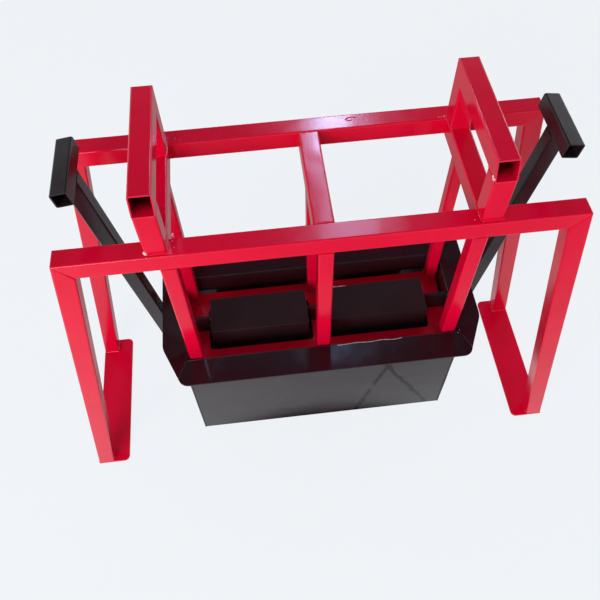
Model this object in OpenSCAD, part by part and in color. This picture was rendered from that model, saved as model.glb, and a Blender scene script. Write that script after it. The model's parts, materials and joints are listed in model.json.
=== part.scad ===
// Hand block machine: a splayed four-leg stand whose pressing plate stays inside
// a lifting mould for hollow blocks. The front of the machine faces -Y.

/* [Block] */
// Length of the moulded block
block_l = 390; // [380:1:400]
// Width of the moulded block
block_w = 140; // [130:1:142]
// Height of the moulded block
block_h = 190; // [170:1:192]
// Gap between the block's end face and the first hollow
shell_t = 37; // [34:1:42]

/* [Stand] */
// Square tube of the stand
tube = 25.4; // [24:0.1:27]
// Wall of every tube
tube_wall = 1.6; // [1.2:0.1:2]
// Outer corner radius of every tube
tube_r = 2.4; // [2.2:0.1:3]
// Length of the top frame over its outer faces
top_l = 610; // [600:1:640]
// Width of the top frame over its outer faces
top_w = 198.5; // [196:0.5:210]
// Height of the top frame above the floor
frame_h = 543; // [540:1:570]
// Length over the legs' outer faces at the floor
foot_l = 793; // [760:1:820]
// Width over the legs' outer faces at the floor
foot_w = 246; // [236:1:256]
// Width of a foot plate
foot_plate_w = 53; // [45:1:60]
// Thickness of a foot plate
foot_plate_t = 4; // [3:0.5:6]

/* [Hand frames] */
// Outer face of a hand frame, measured from the middle of the machine
hand_x = 202; // [200:1:210]
// Height of a hand frame's top above the floor
hand_h = 629; // [610:1:660]
// Distance of the front hand post behind the front of the top frame
hand_front_inset = 5; // [4:1:15]
// Slant of a hand frame's open front end, from its bottom edge to its top edge
hand_end_cut = 8; // [0:1:10]
// Distance of the back hand post before the back of the top frame
hand_back_inset = 18; // [10:1:24]

/* [Pressing plate] */
// Thickness of the pressing plate
plate_t = 4; // [3:0.5:6]
// Clearance of the plate at its ends and its front inside the mould
plate_gap = 2; // [1:0.5:3]
// Clearance of the plate at its back inside the mould
plate_back_gap = 4.5; // [2:0.5:6]
// Clearance between the plate and each core
window_gap = 6.5; // [3:0.5:8]
// Square tube of the front posts and of the middle back post
post_tube = 19; // [16:1:22]
// Square tube of the outer back posts, which stand under the cross tubes
side_post_tube = 16; // [14:1:16]

/* [Mould] */
// Height of the mould's underside above the floor
mould_z = 71; // [60:1:80]
// Height of the mould walls
mould_h = 233; // [228:1:236]
// Thickness of the mould walls
wall_t = 4; // [3:0.5:5]
// Distance of the mould's middle before the middle of the top frame
mould_forward = 31.5; // [28:0.5:34]
// Length of a core
core_l = 141.5; // [130:0.5:142]
// Width of a core
core_w = 57; // [50:1:60]
// Radius of a core's upright edges
core_r = 2; // [1.5:0.5:4]
// Thickness of a core's side walls
core_wall = 3; // [2:0.5:4]
// Thickness of a core's top
core_top_t = 4; // [3:0.5:6]
// Thickness of the flat bar that carries the cores
core_bar_t = 5; // [4:0.5:8]
// Gap between the core bar and the pressing plate it rests on
rest_gap = 0.4; // [0.3:0.1:1]

/* [Hopper] */
// Thickness of the hopper sheets
flap_t = 3; // [2:0.5:4]
// Reach of the front flap beyond the cavity
front_reach = 42.5; // [38:0.5:48]
// Rise of the front flap over its reach
front_rise = 8; // [5:1:12]
// Reach of each side flap beyond the cavity
side_reach = 30; // [28:0.5:32]
// Rise of each side flap over its reach
side_rise = 16; // [10:1:18]
// Reach of the back flap beyond the cavity
back_reach = 28; // [20:1:32]
// Rise of the back flap over its reach
back_rise = 9; // [5:1:12]
// Radius of the hopper's corners, seen from above
corner_r = 14; // [8:1:16]

/* [Lifting handles] */
// Square tube of the lifting handles
handle_tube = 20; // [16:1:20]
// Outward lean of a handle in degrees
arm_lean = 8.1; // [7:0.1:9]
// Middle of a handle arm at the height of the rim
arm_x = 236.1; // [236:0.1:244]
// Height of a grip's middle above the floor
grip_h = 597.4; // [580:0.1:640]
// Length of a grip
grip_l = 84; // [75:1:110]

/* [Hidden] */
$fn = 32;
// The origin is on the floor, in the middle of the object's outer box.
stand_y = (foot_w / 2 - mould_forward - block_w / 2 - front_reach) / -2;
mould_y = stand_y - mould_forward;
rail_z = frame_h - tube / 2;
rail_bottom = frame_h - tube;
rail_y = (top_w - tube) / 2;
// Outward lean of the legs, seen from the front and from the side
lean_x = atan((foot_l - top_l) / 2 / frame_h);
lean_y = atan((foot_w - top_w) / 2 / frame_h);
leg_face = tube / cos(lean_x);
mitre_x = top_l / 2 + tube * tan(lean_x) - leg_face;
cross_x = hand_x - tube / 2;
hand_front_y = stand_y - top_w / 2 + hand_front_inset;
hand_back_y = stand_y + top_w / 2 - hand_back_inset;
rim_z = mould_z + mould_h;
wall_top = rim_z - flap_t;
plate_z = mould_z + block_h;
plate_top = plate_z + plate_t;
plate_l = block_l - 2 * plate_gap;
plate_w = block_w - plate_gap - plate_back_gap;
plate_y = mould_y + (plate_gap - plate_back_gap) / 2;
core_x = block_l / 2 - shell_t - core_l / 2;
core_bar_z = plate_top + rest_gap;
core_bar_top = rim_z - core_top_t;
front_post_x = plate_l / 2 - 3.5 - post_tube / 2;
front_post_y = stand_y - top_w / 2;
back_post_x = plate_l / 2 - side_post_tube / 2;
back_post_y = plate_y + plate_w / 2;
// Line of the handle arms, and the length of an arm's axis from the rim to the grip's middle
arm_y = mould_y + 20.5;
arm_rise = (grip_h - rim_z) / cos(arm_lean);
// Half of the cavity, whose corners the hopper's seams start from
edge_x = block_l / 2;
edge_y = block_w / 2;
// Outward run of a front seam and of a back seam, seen from above
front_seam = [10, 31];
back_seam = [17, 28];
// Right half of the hopper's outer edge before its corners are rounded, from front to back
front_corner = [edge_x + 5, -edge_y - front_reach];
shoulder = [edge_x + side_reach, -edge_y + 14];
back_corner = [edge_x + side_reach, edge_y + back_reach];
shoulder_r = 30;
corner_steps = 6;
far = 1000;
red = [0.78, 0.07, 0.14];
black = [0.13, 0.11, 0.12];
core_black = [0.20, 0.18, 0.20];

// A rectangle with round corners, centred on the origin
module soft_rect(l, w, r) {
    square([l - 2 * r, w], center = true);
    square([l, w - 2 * r], center = true);
    for (x = [-1, 1], y = [-1, 1])
        translate([x * (l / 2 - r), y * (w / 2 - r)]) circle(r);
}

// Section of a square tube
module tube_section(w) {
    difference() {
        soft_rect(w, w, tube_r);
        soft_rect(w - 2 * tube_wall, w - 2 * tube_wall, tube_r - tube_wall);
    }
}

// Square tubes along each axis
module tube_x(l, y, z, w) {
    translate([-l / 2, y, z]) rotate([90, 0, 90]) linear_extrude(l) tube_section(w);
}

module tube_y(x, y0, y1, z, w) {
    translate([x, y0, z]) rotate([-90, 0, 0]) linear_extrude(y1 - y0) tube_section(w);
}

module tube_z(x, y, z0, z1, w) {
    translate([x, y, z0]) linear_extrude(z1 - z0) tube_section(w);
}

// An outline in the XZ plane carried through the whole depth
module zone_xz(points) {
    translate([0, far / 2, 0]) rotate([90, 0, 0]) linear_extrude(far) polygon(points);
}

// An outline in the YZ plane carried through the whole length
module zone_yz(points) {
    translate([-far / 2, 0, 0]) rotate([90, 0, 90]) linear_extrude(far) polygon(points);
}

// A rail of the top frame, mitred to the legs at both ends
module rail(face) {
    color(red) intersection() {
        tube_x(top_l, stand_y + face * rail_y, rail_z, tube);
        zone_xz([
            [-top_l / 2, frame_h], [top_l / 2, frame_h],
            [mitre_x, rail_bottom], [-mitre_x, rail_bottom]
        ]);
    }
}

// A splayed leg: side is -1 left and 1 right, face is -1 front and 1 back
module leg(side, face) {
    leg_l = frame_h + 2 * tube;
    color(red) mirror([side < 0 ? 1 : 0, 0, 0]) intersection() {
        translate([top_l / 2 - leg_face / 2, stand_y + face * rail_y, frame_h])
            rotate([face * lean_y, -lean_x, 0])
                translate([0, 0, -leg_l]) linear_extrude(leg_l + tube) tube_section(tube);
        zone_xz([
            [mitre_x, rail_bottom], [top_l / 2, frame_h],
            [foot_l, frame_h], [foot_l, foot_plate_t],
            [tube, foot_plate_t], [tube, rail_bottom]
        ]);
    }
}

// A long flat foot under a front and a back leg, with round inner corners
module foot_plate(side) {
    corner = 9;
    color(red) translate([side * (foot_l - foot_plate_w) / 2, stand_y, 0])
        linear_extrude(foot_plate_t) {
            soft_rect(foot_plate_w, foot_w, corner);
            translate([side * foot_plate_w / 4, 0])
                square([foot_plate_w / 2, foot_w], center = true);
        }
}

// A cross tube between the two rails, flush with their tops
module cross_tube(x) {
    color(red) tube_y(x, stand_y - rail_y + tube / 2, stand_y + rail_y - tube / 2, rail_z, tube);
}

// The top tube of a hand frame: cut open at a slant in front, mitred to the back post
module hand_bar(side) {
    color(red) intersection() {
        tube_y(side * cross_x, hand_front_y, hand_back_y, hand_h - tube / 2, tube);
        zone_yz([
            [hand_front_y + hand_end_cut, hand_h], [hand_back_y, hand_h],
            [hand_back_y - tube, hand_h - tube], [hand_front_y, hand_h - tube]
        ]);
    }
}

module front_hand_post(side) {
    color(red) tube_z(side * cross_x, hand_front_y + tube / 2, frame_h, hand_h - tube, tube);
}

module back_hand_post(side) {
    color(red) intersection() {
        tube_z(side * cross_x, hand_back_y - tube / 2, frame_h, hand_h, tube);
        zone_yz([
            [hand_back_y - tube, hand_h - tube], [hand_back_y, hand_h],
            [hand_back_y, frame_h], [hand_back_y - tube, frame_h]
        ]);
    }
}

// A thin post from the front rail down to the pressing plate
module front_hanger(x) {
    color(red) tube_z(x, front_post_y + post_tube / 2, plate_top, rail_bottom, post_tube);
}

// A thin post from a cross tube down to the back edge of the pressing plate
module back_hanger(x, w) {
    color(red) tube_z(x, back_post_y - w / 2, plate_top, rail_bottom, w);
}

// The plate that holds the block down: one window round each core
module pressing_plate() {
    color(red) translate([0, 0, plate_z]) linear_extrude(plate_t) difference() {
        translate([0, plate_y]) soft_rect(plate_l, plate_w, 3);
        for (side = [-1, 1])
            translate([side * core_x, mould_y])
                soft_rect(core_l + 2 * window_gap, core_w + 2 * window_gap, 6);
    }
}

// The long walls overlap the ends of the end walls
module long_wall(face) {
    color(black) translate([0, mould_y + face * (block_w + wall_t) / 2, mould_z])
        linear_extrude(wall_top - mould_z) square([block_l + 2 * wall_t, wall_t], center = true);
}

module end_wall(side) {
    color(black) translate([side * (block_l + wall_t) / 2, mould_y, mould_z])
        linear_extrude(wall_top - mould_z) square([wall_t, block_w], center = true);
}

// Section of a hopper sheet: a foot on the wall's top, then a slope outwards
function flap_section(reach, rise) = [
    [0, 0], [reach, rise], [reach, rise - flap_t],
    [wall_t, rise * wall_t / reach - flap_t + 0.05], [wall_t, -flap_t], [0, -flap_t]
];

function unit(v) = v / norm(v);

// The points of an arc that rounds the corner q between p and s
function round_corner(p, q, s, r) =
    let (u = unit(p - q), v = unit(s - q), half = acos(u * v) / 2,
        middle = q + unit(u + v) * r / sin(half),
        start = q + u * r / tan(half) - middle, end = q + v * r / tan(half) - middle)
    [for (i = [0:corner_steps]) middle + r * unit(start + (end - start) * i / corner_steps)];

// The hopper's outer edge seen from above, round the middle of the cavity
module hopper_plan() {
    right = concat(
        round_corner([0, front_corner.y], front_corner, shoulder, corner_r),
        round_corner(front_corner, shoulder, back_corner, shoulder_r),
        round_corner(shoulder, back_corner, [0, back_corner.y], corner_r)
    );
    last = len(right) - 1;
    left = [for (i = [0:last]) [-right[last - i].x, right[last - i].y]];
    polygon(concat(right, left));
}

// A hopper sheet laid flat in plan: its outline and the zone between its two seams
module flap_plan(zone) {
    translate([0, 0, -far / 2]) linear_extrude(far) intersection() {
        hopper_plan();
        polygon(zone);
    }
}

// A flap across the front or the back, from seam to seam
module long_flap(face, reach, rise, seam) {
    out_x = edge_x + 2 * seam.x;
    out_y = face * (edge_y + 2 * seam.y);
    color(black) translate([0, mould_y, rim_z]) intersection() {
        mirror([0, face < 0 ? 1 : 0, 0]) translate([-far / 2, edge_y, 0])
            rotate([90, 0, 90]) linear_extrude(far) polygon(flap_section(reach, rise));
        flap_plan([
            [-edge_x, face * edge_y], [-out_x, out_y], [out_x, out_y], [edge_x, face * edge_y]
        ]);
    }
}

module front_flap() { long_flap(-1, front_reach, front_rise, front_seam); }

module back_flap() { long_flap(1, back_reach, back_rise, back_seam); }

// A side flap: it also fills the two corners, out to the seams
module side_flap(side) {
    front_x = edge_x + 2 * front_seam.x;
    back_x = edge_x + 2 * back_seam.x;
    color(black) translate([0, mould_y, rim_z]) mirror([side < 0 ? 1 : 0, 0, 0])
        intersection() {
            translate([edge_x, far / 2, 0])
                rotate([90, 0, 0]) linear_extrude(far) polygon(flap_section(side_reach, side_rise));
            flap_plan([
                [edge_x, -edge_y], [front_x, -edge_y - 2 * front_seam.y],
                [far, -edge_y - 2 * front_seam.y], [far, edge_y + 2 * back_seam.y],
                [back_x, edge_y + 2 * back_seam.y], [edge_x, edge_y]
            ]);
        }
}

// A core: a folded sheet box, open below, slotted at both ends for the core bar
module core(side) {
    slot_w = core_bar_t + 0.2;
    color(core_black) translate([side * core_x, mould_y, 0]) difference() {
        translate([0, 0, mould_z]) linear_extrude(mould_h) soft_rect(core_l, core_w, core_r);
        translate([0, 0, mould_z - 1]) linear_extrude(core_bar_top - mould_z + 1)
            soft_rect(core_l - 2 * core_wall, core_w - 2 * core_wall, 1);
        translate([-core_l, -slot_w / 2, core_bar_z - 0.1])
            cube([2 * core_l, slot_w, core_bar_top - core_bar_z + 0.1]);
    }
}

// The flat bar on edge that joins the cores to the end walls and rests on the plate
module core_bar() {
    color(black) translate([-block_l / 2, mould_y - core_bar_t / 2, core_bar_z])
        cube([block_l, core_bar_t, core_bar_top - core_bar_z]);
}

// Places a part of a handle on the arm's leaning axis, measured up from the rim
module on_arm(side) {
    color(black) mirror([side < 0 ? 1 : 0, 0, 0])
        translate([arm_x, arm_y, rim_z]) rotate([0, arm_lean, 0]) children();
}

// A handle arm, from the foot of an end wall up and out past the flap to the grip
module handle_arm(side) {
    reach_down = mould_h + handle_tube;
    foot_z = mould_z + 2;
    wall_x = side * (edge_x + wall_t);
    end_x = side * foot_l / 2;
    intersection() {
        on_arm(side)
            tube_z(0, 0, -reach_down, arm_rise - handle_tube / 2, handle_tube);
        zone_xz([[wall_x, foot_z], [end_x, foot_z], [end_x, hand_h], [wall_x, hand_h]]);
    }
}

// A grip lies across the top of its arm and leans with it
module grip(side) {
    on_arm(side) tube_y(0, -grip_l / 2, grip_l / 2, arm_rise, handle_tube);
}

module front_rail() { rail(-1); }
module back_rail() { rail(1); }
module front_left_leg() { leg(-1, -1); }
module front_right_leg() { leg(1, -1); }
module back_left_leg() { leg(-1, 1); }
module back_right_leg() { leg(1, 1); }
module left_foot_plate() { foot_plate(-1); }
module right_foot_plate() { foot_plate(1); }
module left_cross_tube() { cross_tube(-cross_x); }
module centre_cross_tube() { cross_tube(0); }
module right_cross_tube() { cross_tube(cross_x); }
module left_hand_bar() { hand_bar(-1); }
module right_hand_bar() { hand_bar(1); }
module left_front_hand_post() { front_hand_post(-1); }
module right_front_hand_post() { front_hand_post(1); }
module left_back_hand_post() { back_hand_post(-1); }
module right_back_hand_post() { back_hand_post(1); }
module left_front_hanger() { front_hanger(-front_post_x); }
module centre_front_hanger() { front_hanger(0); }
module right_front_hanger() { front_hanger(front_post_x); }
module left_back_hanger() { back_hanger(-back_post_x, side_post_tube); }
module centre_back_hanger() { back_hanger(0, post_tube); }
module right_back_hanger() { back_hanger(back_post_x, side_post_tube); }
module front_wall() { long_wall(-1); }
module back_wall() { long_wall(1); }
module left_end_wall() { end_wall(-1); }
module right_end_wall() { end_wall(1); }
module left_flap() { side_flap(-1); }
module right_flap() { side_flap(1); }
module left_core() { core(-1); }
module right_core() { core(1); }
module left_handle_arm() { handle_arm(-1); }
module right_handle_arm() { handle_arm(1); }
module left_grip() { grip(-1); }
module right_grip() { grip(1); }

front_rail();
back_rail();
front_left_leg();
front_right_leg();
back_left_leg();
back_right_leg();
left_foot_plate();
right_foot_plate();
left_cross_tube();
centre_cross_tube();
right_cross_tube();
left_hand_bar();
right_hand_bar();
left_front_hand_post();
right_front_hand_post();
left_back_hand_post();
right_back_hand_post();
left_front_hanger();
centre_front_hanger();
right_front_hanger();
left_back_hanger();
centre_back_hanger();
right_back_hanger();
pressing_plate();
front_wall();
back_wall();
left_end_wall();
right_end_wall();
front_flap();
back_flap();
left_flap();
right_flap();
left_core();
right_core();
core_bar();
left_handle_arm();
right_handle_arm();
left_grip();
right_grip();
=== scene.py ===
"""Looks of the hand block machine: enamel finishes, weld beads, studio and camera."""
import json
import logging
import math
from dataclasses import dataclass, field
from enum import Enum
from typing import Any, Sequence

import bmesh
import bpy
import numpy as np
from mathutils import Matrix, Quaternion, Vector


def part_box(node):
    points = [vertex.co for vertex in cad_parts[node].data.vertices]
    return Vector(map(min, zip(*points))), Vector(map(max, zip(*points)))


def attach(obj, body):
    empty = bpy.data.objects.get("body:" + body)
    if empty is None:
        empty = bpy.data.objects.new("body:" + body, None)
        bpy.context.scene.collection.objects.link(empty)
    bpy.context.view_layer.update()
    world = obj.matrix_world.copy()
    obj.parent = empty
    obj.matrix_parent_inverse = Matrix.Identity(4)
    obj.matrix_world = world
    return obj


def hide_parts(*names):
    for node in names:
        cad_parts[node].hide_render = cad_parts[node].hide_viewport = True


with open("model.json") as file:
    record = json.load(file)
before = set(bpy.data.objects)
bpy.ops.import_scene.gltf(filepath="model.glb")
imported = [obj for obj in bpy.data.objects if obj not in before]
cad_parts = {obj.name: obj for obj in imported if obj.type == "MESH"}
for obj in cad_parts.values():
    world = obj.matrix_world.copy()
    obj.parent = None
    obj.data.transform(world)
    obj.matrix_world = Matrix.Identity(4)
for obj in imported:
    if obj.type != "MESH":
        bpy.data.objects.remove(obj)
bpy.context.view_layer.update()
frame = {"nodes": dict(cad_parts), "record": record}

log = logging.getLogger("block_machine")
MM = 0.001
FRAME_PX = 600


class Side(Enum):
    """The two ends of the machine along X."""

    LEFT = -1
    RIGHT = 1


class Socket:
    """A shader value or a plain number whose arithmetic adds Math nodes."""

    def __init__(self, shader: "Shader", link: Any) -> None:
        """Wrap a link.

        Args:
            shader: the builder that owns the node tree.
            link: an output socket or a number.
        """
        self.shader = shader
        self.link = link

    def _math(self, operation: str, *values: Any) -> "Socket":
        """Add a Math node.

        Args:
            operation: Blender's name of the operation.
            values: its inputs, sockets or numbers.

        Returns:
            The node's value.
        """
        return self.shader.node("ShaderNodeMath", {"operation": operation}, *values)

    def __add__(self, other: Any) -> "Socket":
        """Sum."""
        return self._math("ADD", self, other)

    def __sub__(self, other: Any) -> "Socket":
        """Difference."""
        return self._math("SUBTRACT", self, other)

    def __rsub__(self, other: Any) -> "Socket":
        """Reflected difference, so that 1 - mask works."""
        return self._math("SUBTRACT", other, self)

    def __mul__(self, other: Any) -> "Socket":
        """Product."""
        return self._math("MULTIPLY", self, other)

    __radd__ = __add__
    __rmul__ = __mul__

    def power(self, exponent: Any) -> "Socket":
        """This value to a power."""
        return self._math("POWER", self, exponent)

    def size(self) -> "Socket":
        """The absolute value."""
        return self._math("ABSOLUTE", self)

    def larger(self, other: "Socket") -> "Socket":
        """The larger of two values."""
        return self._math("MAXIMUM", self, other)

    def clamped(self) -> "Socket":
        """This value held between 0 and 1."""
        return self._math("MINIMUM", self._math("MAXIMUM", self, 0.0), 1.0)

    def step(self, low: float, high: float) -> "Socket":
        """A smooth step of this value.

        Args:
            low: where the result is 0.
            high: where the result is 1.

        Returns:
            The stepped value.
        """
        settings = {"interpolation_type": "SMOOTHSTEP"}
        return self.shader.node("ShaderNodeMapRange", settings, self, low, high, 0.0, 1.0)


class Shader:
    """Builds the node tree of one material or world from expressions."""

    def __init__(self, owner: Any) -> None:
        """Start with an empty tree.

        Args:
            owner: a new material or world.
        """
        owner.use_nodes = True
        self.owner = owner
        self.tree = owner.node_tree
        self.tree.nodes.clear()

    def raw(self, kind: str, settings: dict[str, Any], *values: Any) -> bpy.types.Node:
        """Add any node.

        Args:
            kind: the node's type.
            settings: properties, set before the inputs.
            values: a value or link for each input in order; None skips one.

        Returns:
            The new node.
        """
        made = self.tree.nodes.new(kind)
        for key, value in settings.items():
            setattr(made, key, value)
        for slot, value in zip(made.inputs, values):
            if value is None:
                continue
            if isinstance(value, Socket):
                value = value.link
            if isinstance(value, bpy.types.NodeSocket):
                self.tree.links.new(value, slot)
            else:
                slot.default_value = value
        return made

    def node(self, kind: str, settings: dict[str, Any], *values: Any) -> Socket:
        """Add a node and return its first output as a value."""
        return Socket(self, self.raw(kind, settings, *values).outputs[0])

    def point(self) -> Any:
        """The surface point in the object's own coordinates."""
        return self.raw("ShaderNodeTexCoord", {}).outputs["Object"]

    def axes(self) -> tuple[Socket, Socket, Socket]:
        """X, Y and Z of the surface point."""
        parts = self.raw("ShaderNodeSeparateXYZ", {}, self.point())
        return Socket(self, parts.outputs[0]), Socket(self, parts.outputs[1]), Socket(self, parts.outputs[2])

    def noise(self, scale: float, detail: float = 2.0, rough: float = 0.5) -> Socket:
        """Fractal noise over the surface.

        Args:
            scale: features a metre.
            detail: octaves.
            rough: weight of the finer octaves.

        Returns:
            A value near 0.5.
        """
        made = self.raw("ShaderNodeTexNoise", {})
        self.tree.links.new(self.point(), made.inputs["Vector"])
        made.inputs["Scale"].default_value = scale
        made.inputs["Detail"].default_value = detail
        made.inputs["Roughness"].default_value = rough
        return Socket(self, made.outputs[0])

    def cells(self, scale: float) -> Socket:
        """Distance to the nearest of a set of scattered points.

        Args:
            scale: points a metre.

        Returns:
            The distance, 0 at a point.
        """
        made = self.raw("ShaderNodeTexVoronoi", {"feature": "F1"})
        self.tree.links.new(self.point(), made.inputs["Vector"])
        made.inputs["Scale"].default_value = scale
        return Socket(self, made.outputs["Distance"])

    def blend(self, mask: Socket, first: Sequence[float], second: Any) -> Any:
        """A colour between two colours.

        Args:
            mask: 0 gives the first, 1 the second.
            first: a colour or a colour link.
            second: a colour or a colour link.

        Returns:
            The colour's output socket.
        """
        made = self.raw("ShaderNodeMix", {"data_type": "RGBA"})
        self.tree.links.new(mask.link, made.inputs[0])
        for slot, value in ((made.inputs[6], first), (made.inputs[7], second)):
            if isinstance(value, bpy.types.NodeSocket):
                self.tree.links.new(value, slot)
            else:
                slot.default_value = (*value, 1.0)
        return made.outputs[2]

    def bump(self, height: Socket, distance: float) -> Any:
        """A normal bent by a height.

        Args:
            height: the height value.
            distance: metres that a height of 1 stands for.

        Returns:
            The normal's output socket.
        """
        made = self.raw("ShaderNodeBump", {})
        made.inputs["Strength"].default_value = 1.0
        made.inputs["Distance"].default_value = distance
        self.tree.links.new(height.link, made.inputs["Height"])
        return made.outputs["Normal"]

    def finish(self, links: dict[str, Any], values: dict[str, float]) -> bpy.types.Material:
        """Close the tree with a Principled shader.

        Args:
            links: outputs that vary over the surface, by socket name.
            values: constants, by socket name.

        Returns:
            The material.
        """
        shader = self.raw("ShaderNodeBsdfPrincipled", {})
        for name, value in values.items():
            shader.inputs[name].default_value = value
        for name, value in links.items():
            self.tree.links.new(value.link if isinstance(value, Socket) else value, shader.inputs[name])
        out = self.raw("ShaderNodeOutputMaterial", {})
        self.tree.links.new(shader.outputs[0], out.inputs["Surface"])
        return self.owner

    def backdrop_ray(self) -> Socket:
        """1 for rays of the eye, of gloss and of glass, 0 for rays that carry light."""
        path = self.raw("ShaderNodeLightPath", {})
        kinds = [Socket(self, path.outputs[f"Is {kind} Ray"]) for kind in ("Camera", "Glossy", "Transmission")]
        return (kinds[0] + kinds[1] + kinds[2]).clamped()


@dataclass(frozen=True)
class Bore:
    """The inside of the hand bars, painted darker with depth: painted shade in the bore."""

    x: float
    z: float
    half: float
    front: float
    # the colour of the painted shade deep inside the bore
    soot: tuple[float, float, float] = (0.03, 0.0, 0.002)
    reach: tuple[float, float] = (0.003, 0.024)
    strength: float = 0.92

    def mask(self, s: Shader) -> Socket:
        """How much painted shade darkens the bore at a point.

        Args:
            s: the material's builder.

        Returns:
            0 outside the bore and at its mouth, up to the strength deep inside.
        """
        x, y, z = s.axes()
        off = (x.size() - self.x).size().larger((z - self.z).size())
        inside = 1.0 - off.step(self.half, self.half + 0.0004)
        return inside * (y - self.front).step(*self.reach) * self.strength


@dataclass(frozen=True)
class Streak:
    """Two strokes on the outside of the front wall, which meet near its top: a painted dark reflection, where the
    enamel mirrors its black base colour.
    """

    apex: tuple[float, float] = (0.098, 0.226)
    ends: tuple[tuple[float, float], ...] = ((0.0605, 0.0855), (0.175, 0.0793))
    face: float = -0.0945
    half: float = 0.0016
    blur: float = 0.0058

    def mask(self, s: Shader) -> Socket:
        """How much of a stroke lies at a point.

        Args:
            s: the material's builder.

        Returns:
            1 on a stroke, 0 away from it and on every other face.
        """
        x, y, z = s.axes()
        wobble = (s.noise(60.0, 2.0) - 0.5) * 0.010
        total = None
        for end_x, end_z in self.ends:
            slope = (end_x - self.apex[0]) / (end_z - self.apex[1])
            line = (x - (z - self.apex[1]) * slope - self.apex[0] + wobble).size()
            stroke = 1.0 - line.step(self.half, self.blur)
            total = stroke if total is None else total.larger(stroke)
        patchy = s.noise(45.0, 3.0).step(0.26, 0.50)
        return total * patchy * (1.0 - y.step(self.face, self.face + 0.0005)) * (1.0 - z.step(0.225, 0.245))


@dataclass(frozen=True)
class Enamel:
    """Brushed or sprayed gloss enamel on welded steel."""

    name: str
    colour: tuple[float, float, float]
    deep: tuple[float, float, float]
    dust: tuple[float, float, float]
    roughness: float = 0.2
    roughness_swing: float = 0.16
    coat: float = 0.6
    coat_roughness: float = 0.06
    wave: float = 0.0005
    peel: float = 0.00006
    dust_amount: float = 0.35
    specular: float = 0.5

    def material(self, bore: Bore | None = None, streak: Streak | None = None) -> bpy.types.Material:
        """Long waves and orange peel bend the surface, cloudy patches shade it, and specks dull it.

        Args:
            bore: a bore whose inside is painted darker with depth, as painted shade.
            streak: strokes that mirror the black base colour, a painted dark reflection.

        Returns:
            The enamel's material.
        """
        s = Shader(bpy.data.materials.new(self.name))
        cloud = s.noise(9.0, 3.0).step(0.35, 0.7)
        patch = s.noise(38.0, 4.0, 0.6)
        base = s.blend(cloud * 0.55 + patch * 0.25, self.colour, self.deep)
        speck = (1.0 - s.cells(160.0).step(0.06, 0.16)) * s.noise(21.0).step(0.5, 0.75)
        base = s.blend(speck * self.dust_amount, base, self.dust)
        # painted shade: the bore's inside darkens with depth
        if bore:
            base = s.blend(bore.mask(s), base, bore.soot)
        rough = s.noise(55.0, 5.0, 0.65) * self.roughness_swing + (self.roughness - self.roughness_swing / 2)
        rough = (rough + speck * 0.3).clamped()
        height = s.noise(24.0, 1.0) * self.wave + s.noise(420.0, 1.0) * self.peel
        normal = s.bump(height, 1.0)
        links = {"Base Color": base, "Roughness": rough, "Normal": normal}
        # painted dark reflection: the streak's strokes mirror the black base colour
        if streak:
            links["Metallic"] = streak.mask(s)
        return s.finish(
            links,
            {
                "Coat Weight": self.coat,
                "Coat Roughness": self.coat_roughness,
                "Specular IOR Level": self.specular,
            },
        )


RED = Enamel(
    "red_enamel", (0.77, 0.001, 0.033), (0.68, 0.001, 0.028), (0.80, 0.12, 0.16),
    roughness=0.17, roughness_swing=0.08, coat=0.12, specular=0.3, dust_amount=0.12,
)
# pale enamels for painted highlights: glints on weld drops, spatter, the rim and the core edges
RED_GLINT_PAINT = Enamel("red_drop", (0.93, 0.62, 0.68), (0.90, 0.50, 0.58), (0.9, 0.7, 0.75), roughness=0.1, dust_amount=0.0)
BLACK_GLINT_PAINT = Enamel("black_drop", (0.62, 0.55, 0.60), (0.40, 0.34, 0.38), (0.5, 0.5, 0.5), roughness=0.1, dust_amount=0.0)
BLACK = Enamel(
    "black_enamel", (0.016, 0.008, 0.011), (0.022, 0.012, 0.015), (0.10, 0.08, 0.09),
    roughness=0.24, coat=0.1, wave=0.0006, dust_amount=0.25, specular=0.44,
)
FLAP = Enamel(
    "flap_enamel", (0.021, 0.006, 0.011), (0.026, 0.008, 0.013), (0.10, 0.07, 0.08),
    roughness=0.19, coat=0.0, wave=0.0006, dust_amount=0.2, specular=0.28,
)
CORE = Enamel(
    "core_enamel", (0.018, 0.009, 0.012), (0.024, 0.013, 0.016), (0.10, 0.08, 0.09),
    roughness=0.36, coat=0.0, specular=0.3, dust_amount=0.15,
)


def unit(vectors: np.ndarray) -> np.ndarray:
    """Rows scaled to length 1."""
    return vectors / np.maximum(np.linalg.norm(vectors, axis=-1, keepdims=True), 1e-12)


def mesh_object(name: str, points: np.ndarray, faces: Sequence[Sequence[int]]) -> bpy.types.Object:
    """Make a smooth object from arrays.

    Args:
        name: the piece's name.
        points: rows of coordinates in metres.
        faces: vertex indices of each face.

    Returns:
        The object, linked to the scene.
    """
    mesh = bpy.data.meshes.new(name)
    mesh.from_pydata(points.tolist(), [], [list(map(int, f)) for f in faces])
    mesh.shade_smooth()
    mesh.update()
    made = bpy.data.objects.new(name, mesh)
    bpy.context.scene.collection.objects.link(made)
    return made


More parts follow.
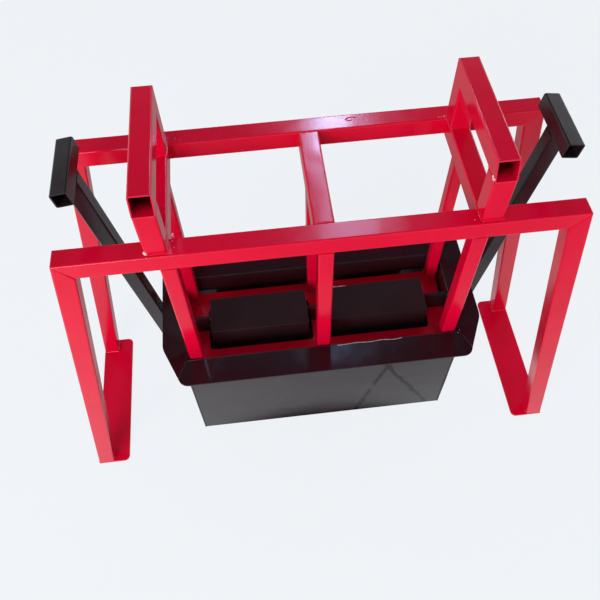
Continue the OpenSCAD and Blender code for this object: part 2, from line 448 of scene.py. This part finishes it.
@dataclass
class WeldBeads:
    """Rippled weld beads, swept along seams and joined into one mesh."""

    name: str
    sides: int = 8
    step: float = 0.0012
    pitch: float = 0.0032
    ripple: float = 0.22
    seed: int = 11
    points: list[np.ndarray] = field(default_factory=list)
    faces: list[np.ndarray] = field(default_factory=list)

    def seam(self, path: Sequence[Sequence[float]], radius: float) -> None:
        """Add a bead along a path.

        The tube's radius at length s is radius times 1 plus a saw-like ripple of the pitch,
        with a slow seeded swell, and falls to nothing at both ends as a half circle does.

        Args:
            path: corner points in metres.
            radius: the bead's radius in metres.
        """
        corners = np.asarray(path, float)
        lengths = np.linalg.norm(np.diff(corners, axis=0), axis=1)
        stations = np.concatenate([[0.0], np.cumsum(lengths)])
        total = stations[-1]
        count = max(6, int(total / self.step))
        s = np.linspace(0.0, total, count)
        centre = np.stack([np.interp(s, stations, corners[:, k]) for k in range(3)], axis=1)
        along = unit(np.gradient(centre, axis=0))
        helper = np.where(np.abs(along[:, 2:3]) > 0.9, [[1.0, 0.0, 0.0]], [[0.0, 0.0, 1.0]])
        across = unit(np.cross(along, helper))
        up = np.cross(across, along)
        rng = np.random.default_rng(self.seed + len(self.points))
        swell = np.interp(s, np.linspace(0, total, 9), rng.uniform(0.85, 1.15, 9))
        ripple = 1.0 + self.ripple * (np.abs(np.sin(math.pi * s / self.pitch)) - 0.5)
        ends = np.sqrt(np.clip(np.minimum(s, total - s) / radius, 0.0, 1.0))
        size = radius * swell * ripple * np.maximum(ends, 0.05)
        angle = np.linspace(0.0, 2 * math.pi, self.sides, endpoint=False)
        ring = np.cos(angle)[None, :, None] * across[:, None] + np.sin(angle)[None, :, None] * up[:, None]
        points = centre[:, None] + ring * size[:, None, None]
        first = sum(len(p) for p in self.points)
        i, j = np.meshgrid(np.arange(count - 1), np.arange(self.sides), indexing="ij")
        near = i * self.sides + j
        turn = i * self.sides + (j + 1) % self.sides
        quads = np.stack([near, near + self.sides, turn + self.sides, turn], axis=-1).reshape(-1, 4)
        tips = np.arange(self.sides)
        self.points.append(points.reshape(-1, 3))
        self.faces.extend((quads + first).tolist())
        self.faces.append((tips + first).tolist())
        self.faces.append((tips[::-1] + first + (count - 1) * self.sides).tolist())

    def loop(self, lo: Sequence[float], hi: Sequence[float], z: float, radius: float) -> None:
        """Add a bead round a tube's rectangular foot.

        Args:
            lo: lowest X and Y.
            hi: highest X and Y.
            z: height of the seam.
            radius: the bead's radius.
        """
        x0, y0, x1, y1 = lo[0], lo[1], hi[0], hi[1]
        self.seam([(x0, y0, z), (x1, y0, z), (x1, y1, z), (x0, y1, z), (x0, y0, z)], radius)

    def grain(self, at: Sequence[float], radius: float) -> None:
        """Add one round drop or grain of spatter.

        Args:
            at: its centre in metres.
            radius: its radius in metres.
        """
        centre = np.asarray(at, float)
        self.seam([centre - [radius, 0, 0], centre, centre + [radius, 0, 0]], radius)

    def build(self) -> bpy.types.Object:
        """Join the beads.

        Returns:
            The bead mesh.
        """
        made = mesh_object(self.name, np.concatenate(self.points), self.faces)
        fix = bmesh.new()
        fix.from_mesh(made.data)
        bmesh.ops.recalc_face_normals(fix, faces=fix.faces)
        fix.to_mesh(made.data)
        fix.free()
        return made


EDGES = {
    "foot_plate": 0.0010, "plate": 0.0008, "wall": 0.0004, "flap": 0.0009, "core_bar": 0.0005, "core": 0.0013
}


@dataclass
class SteelPiece:
    """A CAD node shown by a copy with merged vertices and softly rounded edges.

    A tube's long edges are round already, so an edge of 0 leaves its ground ends alone.
    Normals are weighted by the area of the faces, so flat faces reflect as flat ones.
    """

    node: str
    body: str
    finish: bpy.types.Material
    slot: str
    edge: float
    segments: int = 2
    crease: float = math.radians(35)
    ground: float = 0.0028

    def grind(self, work: bmesh.types.BMesh) -> None:
        """Leave the corners as they are; a mitred tube rounds them.

        Args:
            work: the piece's mesh.
        """

    def build(self) -> bpy.types.Object:
        """Merge the node's triangles, dissolve its flat joints and round its edges.

        Returns:
            The piece, which stands for the node.
        """
        mesh = frame["nodes"][self.node].data.copy()
        work = bmesh.new()
        work.from_mesh(mesh)
        bmesh.ops.remove_doubles(work, verts=work.verts, dist=1e-6)
        bmesh.ops.dissolve_limit(
            work, angle_limit=math.radians(0.5), verts=work.verts, edges=work.edges
        )
        self.grind(work)
        work.to_mesh(mesh)
        work.free()
        name = f"{self.node}_steel"
        mesh.name = name
        mesh.materials.clear()
        mesh.materials.append(self.finish)
        mesh.shade_smooth()
        made = bpy.data.objects.new(name, mesh)
        bpy.context.scene.collection.objects.link(made)
        if self.edge:
            bevel = made.modifiers.new("edge", "BEVEL")
            bevel.width = self.edge
            bevel.segments = self.segments
            bevel.limit_method = "ANGLE"
            bevel.angle_limit = self.crease
        else:
            mesh.set_sharp_from_angle(angle=self.crease)
        flats = made.modifiers.new("flats", "WEIGHTED_NORMAL")
        flats.weight = 90
        flats.keep_sharp = True
        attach(made, self.body)
        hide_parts(self.node)
        return made


@dataclass
class MitredTube(SteelPiece):
    """A tube whose mitred end was ground round on the outer corner after welding."""

    corners: Sequence[tuple[Vector, Vector, Vector]] = ()

    def grind(self, work: bmesh.types.BMesh) -> None:
        """Cut each outer corner with three planes that touch the arc between its two faces.

        Args:
            work: the piece's mesh.
        """
        for corner, first, second in self.corners:
            middle = (first + second).normalized()
            centre = corner - middle * (self.ground / middle.dot(first))
            for share in (0.25, 0.5, 0.75):
                normal = first.slerp(second, share)
                cut = bmesh.ops.bisect_plane(
                    work, geom=work.verts[:] + work.edges[:] + work.faces[:], plane_co=centre + normal * self.ground,
                    plane_no=normal, clear_outer=True,
                )
                rim = [e for e in cut["geom_cut"] if isinstance(e, bmesh.types.BMEdge) and e.is_boundary]
                bmesh.ops.contextual_create(work, geom=rim)
        bmesh.ops.recalc_face_normals(work, faces=work.faces[:])


@dataclass
class SubAssembly:
    """One welded body of the machine."""

    body: str
    nodes: Sequence[str]
    pieces: list[bpy.types.Object] = field(default_factory=list)

    def box(self, node: str) -> tuple[np.ndarray, np.ndarray]:
        """A node's lowest and highest corner as arrays."""
        lo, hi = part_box(node)
        return np.array(lo), np.array(hi)

    def footprint(self, node: str, top: bool = False) -> tuple[np.ndarray, np.ndarray, float]:
        """The plan box of a node's lowest or highest face.

        Args:
            node: the node's name.
            top: take the highest face.

        Returns:
            Lowest corner, highest corner and height.
        """
        co = np.array([v.co for v in frame["nodes"][node].data.vertices])
        z = co[:, 2].max() if top else co[:, 2].min()
        near = co[np.abs(co[:, 2] - z) < 1e-5]
        return near.min(0), near.max(0), float(z)

    def dress(self, finishes: dict[str, bpy.types.Material], slot_of: dict[str, str]) -> None:
        """Show every node of the body as an enamelled steel piece.

        Args:
            finishes: materials by name; a slot's is named like it.
            slot_of: slot by node.
        """
        for node in self.nodes:
            slot = slot_of[node]
            finish = finishes[FLAP.name if node.endswith("flap") else slot]
            edge = next((width for part, width in EDGES.items() if part in node), 0.0)
            corners = self.corners(node)
            if corners:
                piece = MitredTube(node, self.body, finish, slot, edge, corners=corners)
            else:
                piece = SteelPiece(node, self.body, finish, slot, edge)
            self.pieces.append(piece.build())
            log.info("%s: %s", self.body, node)

    def corners(self, node: str) -> list[tuple[Vector, Vector, Vector]]:
        """The ground corners of a node: a point and the outward normals of its two faces."""
        return []

    def attach(self, piece: bpy.types.Object, finish: bpy.types.Material, slot: str) -> None:
        """Give a new piece its finish and body."""
        piece.data.materials.append(finish)
        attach(piece, self.body)
        self.pieces.append(piece)
        log.info("%s: %s", self.body, piece.name)


@dataclass
class Stand(SubAssembly):
    """The red stand with its hand frames, hangers and pressing plate."""

    fillet: float = 0.0022
    flush: float = 0.0016
    flat: float = 0.0012
    spatter_at: tuple[tuple[float, float], ...] = (
        (-0.190, -0.081), (-0.1745, -0.069), (0.1815, -0.0775), (0.1745, 0.088), (-0.1745, 0.0935)
    )

    def corners(self, node: str) -> list[tuple[Vector, Vector, Vector]]:
        """The outer corners of the top frame and of the hand frames' backs.

        Args:
            node: a tube of the stand.

        Returns:
            For each mitred end a point on the corner's edge and the normals of its two faces.
        """
        up = Vector((0.0, 0.0, 1.0))
        found = []
        if node.endswith(("rail", "leg")):
            face = node.split("_")[0]
            rail_hi = self.box(f"{face}_rail")[1]
            for side in Side:
                if node.endswith("leg") and side.name.lower() not in node:
                    continue
                leg = f"{face}_{side.name.lower()}_leg"
                foot = self.footprint(leg)[1 if side is Side.RIGHT else 0]
                run, drop = foot[0] - side.value * rail_hi[0], rail_hi[2] - foot[2]
                outward = Vector((side.value * drop, 0.0, abs(run))).normalized()
                found.append((Vector((side.value * rail_hi[0], 0.0, rail_hi[2])), up, outward))
        elif "back_hand_post" in node or "hand_bar" in node:
            side = "left" if node.startswith("left") else "right"
            bar_hi = self.box(f"{side}_hand_bar")[1]
            low = self.footprint(f"{side}_back_hand_post")[1]
            outward = Vector((0.0, bar_hi[2] - low[2], low[1] - bar_hi[1])).normalized()
            found.append((Vector((0.0, bar_hi[1], bar_hi[2])), up, outward))
        return found

    def welds(self) -> bpy.types.Object:
        """Beads at every joint of the stand.

        Returns:
            The bead mesh.
        """
        beads = WeldBeads("stand_welds", seed=5)
        for x in ("left", "centre", "right"):
            lo, hi = self.box(f"{x}_cross_tube")
            inset = 0.002
            for y in (lo[1], hi[1]):
                for z in (hi[2] - self.flush * 0.35, lo[2] + self.flush * 0.5):
                    beads.seam([(lo[0] + inset, y, z), (hi[0] - inset, y, z)], self.flush)
            for face in ("front", "back"):
                node = f"{x}_{face}_hanger"
                low, high = self.box(node)
                beads.loop(low, high, low[2] + 0.0002, self.fillet)
        for x in ("left", "right"):
            for face in ("front", "back"):
                node = f"{x}_{face}_hand_post"
                low, high, z = self.footprint(node)
                beads.loop(low, high, z - self.flat * 0.4, self.flat)
            low, high = self.box(f"{x}_front_hand_post")
            beads.seam([(low[0], high[1], high[2]), (high[0], high[1], high[2])], self.fillet)
            for face in ("front", "back"):
                low, high, z = self.footprint(f"{face}_{x}_leg")
                self.leg_foot(beads, low, high, z)
        top, back = self.box("back_rail")[1][2], self.box("back_rail")[0][1] + 0.016
        loop = np.linspace(0.0, 1.6 * math.pi, 9)
        ring = np.stack([0.056 + 0.007 * np.cos(loop), back + 0.003 * np.sin(loop), np.full(9, top - 0.0002)], axis=1)
        beads.seam(ring, 0.0009)
        return beads.build()

    def spatter(self, top: float) -> bpy.types.Object:
        """Grains of weld spatter, scattered round five joints on top of the frame.

        Args:
            top: height of the frame's top.

        Returns:
            The grains.
        """
        grains = WeldBeads("stand_spatter", sides=6, step=0.0003, ripple=0.0, seed=3)
        rng = np.random.default_rng(17)
        for x, y in self.spatter_at:
            for dx, dy, size in zip(rng.normal(0, 0.005, 6), rng.normal(0, 0.0035, 6), rng.uniform(0.0003, 0.0007, 6)):
                grains.grain((x + dx, y + dy, top), size)
        return grains.build()

    def drops(self, top: float) -> bpy.types.Object:
        """The drops at the ends of three welds, which are shown pale as painted highlights.

        Args:
            top: height of the frame's top.

        Returns:
            The drops.
        """
        drops = WeldBeads("stand_drops", step=0.0004, ripple=0.1, seed=7)
        low, high = self.box("left_hand_bar")
        front = self.box("left_front_hand_post")[0][1]
        drops.seam([(low[0] + 0.0002, front, top + 0.0055), (low[0] + 0.003, front + 0.0002, top)], 0.0021)
        drops.seam([(-0.1715, -0.062, top - 0.0004), (-0.1705, -0.056, top - 0.0004)], 0.0011)
        tip = (-high[0], front + 0.0045, high[2] - 0.0245)
        drops.seam([tip, (-high[0], front + 0.0020, high[2] - 0.0195)], 0.0011)
        drops.seam([tip, (-high[0], front + 0.0090, high[2] - 0.0205)], 0.0011)
        return drops.build()

    def leg_foot(self, beads: WeldBeads, low: np.ndarray, high: np.ndarray, z: float) -> None:
        """A bead along the two sides of a leg's foot that face the middle of the machine.

        Args:
            beads: the mesh that gets the bead.
            low: the foot's lowest corner.
            high: the foot's highest corner.
            z: the foot's height.
        """
        inner_x, outer_x = sorted((low[0], high[0]), key=abs)
        inner_y, outer_y = sorted((low[1], high[1]), key=abs)
        beads.seam([(outer_x * 0.996, inner_y, z), (inner_x, inner_y, z), (inner_x, outer_y * 0.97, z)], self.fillet)


@dataclass
class Mould(SubAssembly):
    """The black mould with its cores, hopper flaps and lifting handles."""

    fillet: float = 0.0024
    thin: float = 0.0014
    front_seam: float = 10 / 31
    back_seam: float = 17 / 28

    def welds(self) -> bpy.types.Object:
        """Beads on the hopper's corners, the core bar and the box corners.

        Returns:
            The bead mesh.
        """
        beads = WeldBeads("mould_welds", seed=23)
        front_lo, front_hi = self.box("front_flap")
        back_lo, back_hi = self.box("back_flap")
        wall_lo, wall_hi = self.box("right_end_wall")
        box_lo, box_hi = self.box("front_wall")
        rim_z = self.box("left_core")[1][2]
        bar_lo, bar_hi = self.box("core_bar")
        for side in Side:
            sx = side.value
            inner = sx * wall_lo[0]
            flap_lo, flap_hi = self.box("right_flap")
            front_run, back_run = wall_lo[1] - flap_lo[1], flap_hi[1] - wall_hi[1]
            front_rise = (front_hi[2] - rim_z) * front_run / (wall_lo[1] - front_lo[1])
            back_rise = (back_hi[2] - rim_z) * back_run / (back_hi[1] - wall_hi[1])
            front_out = inner + sx * front_run * self.front_seam
            back_out = inner + sx * back_run * self.back_seam
            beads.seam(
                [(inner, wall_lo[1], rim_z), (front_out, flap_lo[1] + 0.002, rim_z + front_rise - 0.001)], self.thin
            )
            beads.seam(
                [(inner, wall_hi[1], rim_z), (back_out, flap_hi[1] - 0.003, rim_z + back_rise - 0.001)], self.thin
            )
            for y in (box_lo[1] + 0.0004, self.box("back_wall")[1][1] - 0.0004):
                corner = sx * (box_hi[0] - 0.0002)
                beads.seam([(corner, y, box_lo[2]), (corner, y, box_hi[2])], self.thin)
            for y in (bar_lo[1], bar_hi[1]):
                end = sx * (bar_hi[0] - 0.0004)
                beads.seam([(end, y, bar_lo[2]), (end, y, bar_hi[2])], self.fillet)
                for core in ("left_core", "right_core"):
                    lo, hi = self.box(core)
                    face = lo[0] if sx < 0 else hi[0]
                    beads.seam([(face, y, bar_lo[2]), (face, y, bar_hi[2])], self.thin)
        return beads.build()

    def glints(self) -> bpy.types.Object:
        """Painted highlights: pale lines along the front rim's right half and on the back edge of the right core.

        Returns:
            The mesh of the lines.
        """
        lines = WeldBeads("mould_glints", sides=6, ripple=0.5, pitch=0.011, seed=41)
        rim_z = self.box("left_core")[1][2]
        front = self.box("right_end_wall")[0][1]
        x = np.linspace(0.018, 0.112, 14)
        wave = np.random.default_rng(5).normal(0.0, 0.0005, len(x))
        lines.seam(np.stack([x, front - 0.001 + wave, np.full(len(x), rim_z + 0.0003)], axis=1), 0.00042)
        core_lo, core_hi = self.box("right_core")
        back = core_hi[1] - 0.0010
        lines.seam([(core_lo[0] + 0.004, back, core_hi[2] - 0.0002), (core_lo[0] + 0.030, back, core_hi[2] - 0.0002)], 0.00045)
        left_lo, left_hi = self.box("left_core")
        for x, y in ((left_lo[0], left_hi[1] - 0.034), (left_lo[0], left_lo[1] + 0.012), (left_hi[0], left_lo[1] + 0.004)):
            lines.grain((x, y, left_hi[2] - 0.001), 0.0006)
        corner = (-self.box("right_end_wall")[0][0], front)
        for dx, dy in ((-0.003, -0.002), (0.002, -0.004), (0.0, 0.002)):
            lines.grain((-corner[0] + dx, corner[1] + dy, rim_z + 0.0004), 0.0006)
        return lines.build()

    def rim(self) -> bpy.types.Object:
        """A thin rolled edge where the flaps fold out of the walls.

        Returns:
            The rim mesh.
        """
        beads = WeldBeads("mould_rim", ripple=0.04, pitch=0.02, seed=31)
        wall_lo, wall_hi = self.box("right_end_wall")
        rim_z = self.box("left_core")[1][2] - 0.0004
        x = wall_lo[0] + 0.0002
        y0, y1 = wall_lo[1], wall_hi[1]
        beads.seam([(-x, y0, rim_z), (x, y0, rim_z), (x, y1, rim_z), (-x, y1, rim_z), (-x, y0, rim_z)], 0.0009)
        return beads.build()


@dataclass
class Studio:
    """Floor, backdrop, lights and the camera of the photograph."""

    camera_at: tuple[float, float, float] = (-0.0705, -0.5312, 1.1188)
    azimuth: float = 4.97
    elevation: float = 57.31
    roll: float = 1.785
    focal_px: float = 654.6
    sensor: float = 36.0
    pale: tuple[float, float, float] = (0.880, 0.913, 0.947)
    floor_pale: tuple[float, float, float] = (0.905, 0.940, 0.972)
    # painted shade on the floor, which only gloss sees: its colour, and the patches in front, behind and under the
    # mould
    dusk: tuple[float, float, float] = (0.065, 0.07, 0.085)
    dusk_at: tuple[float, float, float] = (0.2, -1.08, 0.0)
    dusk_reach: tuple[float, float] = (0.55, 1.12)
    behind_at: tuple[float, float, float] = (-0.07, 0.62, 0.0)
    behind_reach: tuple[float, float] = (0.40, 0.95)
    behind_share: float = 0.75
    under_at: tuple[float, float, float] = (0.0, 0.025, 0.0)
    under_squeeze: tuple[float, float, float] = (0.5, 1.0, 1.0)
    under_reach: tuple[float, float] = (0.155, 0.178)
    under_dim: float = 0.9
    horizon: tuple[float, float] = (0.15, 0.42)
    horizon_dim: float = 0.7
    horizon_behind: tuple[float, float] = (0.80, 0.96)
    ceiling_from: tuple[float, float] = (0.41, 0.66)
    ceiling_dim: float = 0.9
    world_light: float = 0.4
    floor_glow: float = 0.88

    def camera(self) -> None:
        """Place the camera at the photograph's angle."""
        data = bpy.data.cameras.new("camera")
        data.sensor_width = self.sensor
        data.lens = self.focal_px * self.sensor / FRAME_PX
        data.clip_end = 50.0
        made = bpy.data.objects.new("camera", data)
        bpy.context.scene.collection.objects.link(made)
        a, e = math.radians(self.azimuth), math.radians(self.elevation)
        forward = Vector((math.sin(a) * math.cos(e), math.cos(a) * math.cos(e), -math.sin(e)))
        made.rotation_mode = "QUATERNION"
        turn = Quaternion((0.0, 0.0, 1.0), math.radians(-self.roll))
        made.rotation_quaternion = forward.to_track_quat("-Z", "Y") @ turn
        made.location = self.camera_at
        bpy.context.scene.camera = made

    def lamp(
        self, name: str, at: Sequence[float], aim: Sequence[float], size: tuple[float, float], power: float,
        colour: Sequence[float], pieces: Sequence[bpy.types.Object] = (),
    ) -> None:
        """Add a rectangular soft lamp.

        Args:
            name: the lamp's name.
            at: its place in metres.
            aim: the point it faces.
            size: its width and height in metres.
            power: its power in watts.
            colour: its colour.
            pieces: the only pieces it lights; none means all.
        """
        data = bpy.data.lights.new(name, "AREA")
        data.color = colour
        data.shape = "RECTANGLE"
        data.size, data.size_y = size
        data.energy = power
        made = bpy.data.objects.new(name, data)
        made.location = at
        made.rotation_mode = "QUATERNION"
        made.rotation_quaternion = (Vector(aim) - Vector(at)).to_track_quat("-Z", "Y")
        bpy.context.scene.collection.objects.link(made)
        if pieces:
            lit = bpy.data.collections.new(f"{name}_pieces")
            for piece in pieces:
                lit.objects.link(piece)
            made.light_linking.receiver_collection = lit

    def world(self) -> None:
        """A plain world: pale to the eye and to gloss but for a dim ceiling, and softer as light."""
        world = bpy.data.worlds.new("studio")
        s = Shader(world)
        toward = s.raw("ShaderNodeSeparateXYZ", {}, s.raw("ShaderNodeTexCoord", {}).outputs["Generated"])
        height, back = Socket(s, toward.outputs["Z"]), Socket(s, toward.outputs["Y"]).step(*self.horizon_behind)
        ceiling = height.step(*self.ceiling_from) * self.ceiling_dim
        horizon = (1.0 - height.step(*self.horizon)) * back * self.horizon_dim
        glossy = Socket(s, s.raw("ShaderNodeLightPath", {}).outputs["Is Glossy Ray"])
        seen = s.raw("ShaderNodeBackground", {}, (*self.pale, 1.0), 1.0 - (ceiling + horizon) * glossy)
        light = s.raw("ShaderNodeBackground", {}, (0.95, 0.97, 1.0, 1.0), self.world_light)
        mix = s.raw("ShaderNodeMixShader", {}, s.backdrop_ray(), light.outputs[0], seen.outputs[0])
        s.raw("ShaderNodeOutputWorld", {}, mix.outputs[0])
        bpy.context.scene.world = world

    def spot(
        self, s: Shader, at: Sequence[float], reach: tuple[float, float], squeeze: Sequence[float] = (1.0, 1.0, 1.0)
    ) -> Socket:
        """A soft round or oval mask on the floor.

        Args:
            s: the floor's builder.
            at: its centre.
            reach: the distances where it starts to fade and ends.
            squeeze: factors on the axes before the distance is taken.

        Returns:
            1 inside, 0 outside.
        """
        place = s.raw("ShaderNodeVectorMath", {"operation": "MULTIPLY"}, s.point(), squeeze).outputs["Vector"]
        away = s.raw("ShaderNodeVectorMath", {"operation": "DISTANCE"}, place, at).outputs["Value"]
        return 1.0 - Socket(s, away).step(*reach)

    def floor(self) -> None:
        """A wide pale floor that keeps a light shadow; only gloss sees soft dark patches on it, painted shade under
        the mould, in front of the machine and behind it.
        """
        half = 8.0
        corners = np.array([(-half, -half, 0), (half, -half, 0), (half, half, 0), (-half, half, 0)])
        made = mesh_object("floor", corners - [0, 0, 0.0002], [(0, 1, 2, 3)])
        s = Shader(bpy.data.materials.new("floor"))
        diffuse = s.raw("ShaderNodeBsdfDiffuse", {}, (*self.pale, 1.0))
        glow = s.raw("ShaderNodeEmission", {}, (*self.floor_pale, 1.0), 1.0)
        glossy = Socket(s, s.raw("ShaderNodeLightPath", {}).outputs["Is Glossy Ray"])
        # painted shadow patches, seen only in reflections
        under = self.spot(s, self.under_at, self.under_reach, self.under_squeeze) * glossy
        patch = self.spot(s, self.dusk_at, self.dusk_reach) * glossy
        patch = patch.larger(self.spot(s, self.behind_at, self.behind_reach) * glossy * self.behind_share)
        dusk = s.raw("ShaderNodeEmission", {}, (*self.dusk, 1.0), 1.0 - under * self.under_dim)
        patch = patch.larger(under)
        seen = s.raw("ShaderNodeMixShader", {}, patch, glow.outputs[0], dusk.outputs[0])
        share = s.backdrop_ray() * (under * (1.0 - self.floor_glow) + self.floor_glow)
        mix = s.raw("ShaderNodeMixShader", {}, share, diffuse.outputs[0], seen.outputs[0])
        s.raw("ShaderNodeOutputMaterial", {}, mix.outputs[0])
        made.data.materials.append(s.owner)

    def build(self) -> None:
        """Set up the whole studio."""
        bpy.context.scene.view_settings.view_transform = "Standard"
        self.camera()
        self.world()
        self.floor()
        middle = (0.0, 0.0, 0.35)
        white = (1.0, 1.0, 1.0)
        self.lamp("key_lamp", (-1.6, -2.5, 1.4), middle, (2.0, 2.0), 73.0, white)
        self.lamp("side_lamp", (2.8, -0.6, 1.2), middle, (1.6, 1.6), 8.0, white)
        self.lamp("right_rim_lamp", (2.6, 2.3, 1.1), middle, (0.6, 0.6), 5.0, white)
        self.lamp("left_rim_lamp", (-2.6, 1.6, 1.0), middle, (0.6, 0.6), 4.0, white)

    def window(self, red: Sequence[bpy.types.Object], black: Sequence[bpy.types.Object]) -> None:
        """A window high behind the machine, which the red tubes mirror more than the black sheets.

        Args:
            red: the stand's pieces.
            black: the mould's pieces.
        """
        frame_top = (0.04, -0.03, 0.543)
        blue = (0.5, 0.75, 1.2)
        self.lamp("low_window_lamp", (0.3565, 2.076, 2.32), frame_top, (0.18, 0.37), 8.4, blue, red)
        self.lamp("high_window_lamp", (0.42, 1.7165, 2.609), frame_top, (0.30, 0.6), 5.4, blue, red)
        self.lamp("dim_window_lamp", (0.28, 2.08, 2.2), frame_top, (0.20, 0.31), 0.95, blue, black)


def main() -> None:
    """Build the studio, the stand and the mould."""
    logging.basicConfig(level=logging.INFO, format="%(name)s %(message)s")
    studio = Studio()
    studio.build()
    record = frame["record"]
    slot_of = {row["node"]: row["material_slot"] for row in record["subparts"]}
    low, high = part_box("right_hand_bar")
    half = (high[0] - low[0]) / 2
    bore = Bore(low[0] + half, high[2] - half, half - 0.0011, low[1])
    finishes = {f.name: f.material() for f in (CORE, FLAP)}
    finishes |= {RED.name: RED.material(bore), BLACK.name: BLACK.material(streak=Streak())}
    bodies = record["behaviour"]["bodies"]
    stand = Stand("stand", bodies["stand"])
    stand.dress(finishes, slot_of)
    top = stand.box("front_rail")[1][2]
    stand.attach(stand.welds(), finishes["red_enamel"], "red_enamel")
    # painted highlights: the spatter and drops take a pale enamel that stands for glints on the welds
    drop = RED_GLINT_PAINT.material()
    stand.attach(stand.spatter(top), drop, "red_enamel")
    stand.attach(stand.drops(top), drop, "red_enamel")
    mould = Mould("mould", bodies["mould"])
    mould.dress(finishes, slot_of)
    mould.attach(mould.welds(), finishes["black_enamel"], "black_enamel")
    mould.attach(mould.rim(), finishes["black_enamel"], "black_enamel")
    # painted highlights on the mould in a pale enamel
    mould.attach(mould.glints(), BLACK_GLINT_PAINT.material(), "black_enamel")
    studio.window(stand.pieces, mould.pieces)


if __name__ == "__main__":
    main()
